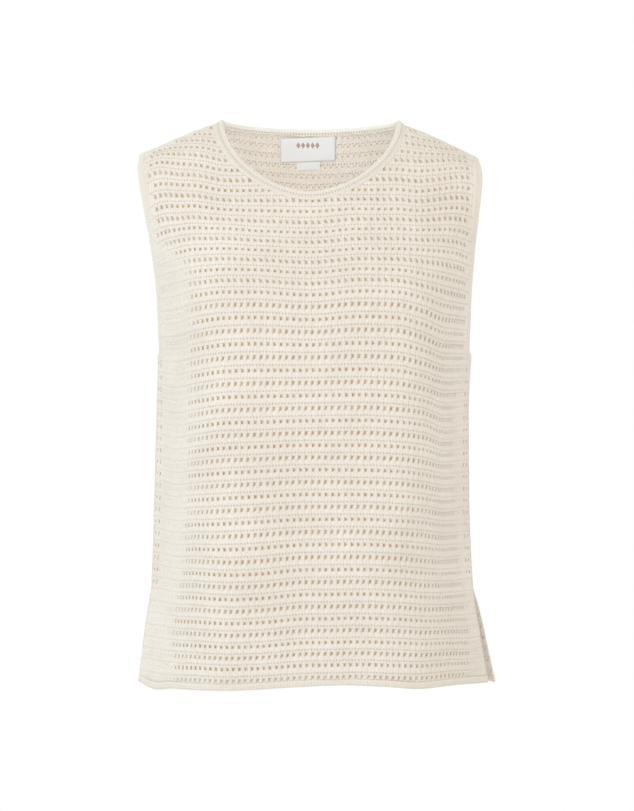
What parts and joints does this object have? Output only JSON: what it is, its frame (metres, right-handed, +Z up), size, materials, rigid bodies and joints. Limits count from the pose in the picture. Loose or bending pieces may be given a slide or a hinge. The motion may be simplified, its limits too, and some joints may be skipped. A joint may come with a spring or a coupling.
{
  "type": "knit tank top",
  "caption": "Sleeveless open-knit top with ribbed neck and armhole bands, a plain hem and side slits, filled out as worn, with nobody in it.",
  "frame": {"origin": "halfway between the two points where the shoulder seams meet the neck, where the wearer's shoulders carry it", "axes": "+Z is up, -Y is the front, and +X is to the right of someone who faces the front"},
  "size_m": [0.3694, 0.2546, 0.5806],
  "materials": {
    "knit": "cream cotton yarn in an open rib with rows of eyelets, matt and slightly fuzzy",
    "rib": "the same cream yarn in a close, smooth narrow rib",
    "label": "white woven satin label tape with a row of five small plain brown lozenges"
  },
  "bodies": {
    "root": {"front_panel": "knit", "back_panel": "knit", "neck_band": "rib", "armhole_band_left": "rib", "armhole_band_right": "rib", "front_hem": "rib", "back_hem": "rib", "neck_label": "label", "size_label": "label"}
  },
  "joints": []
}
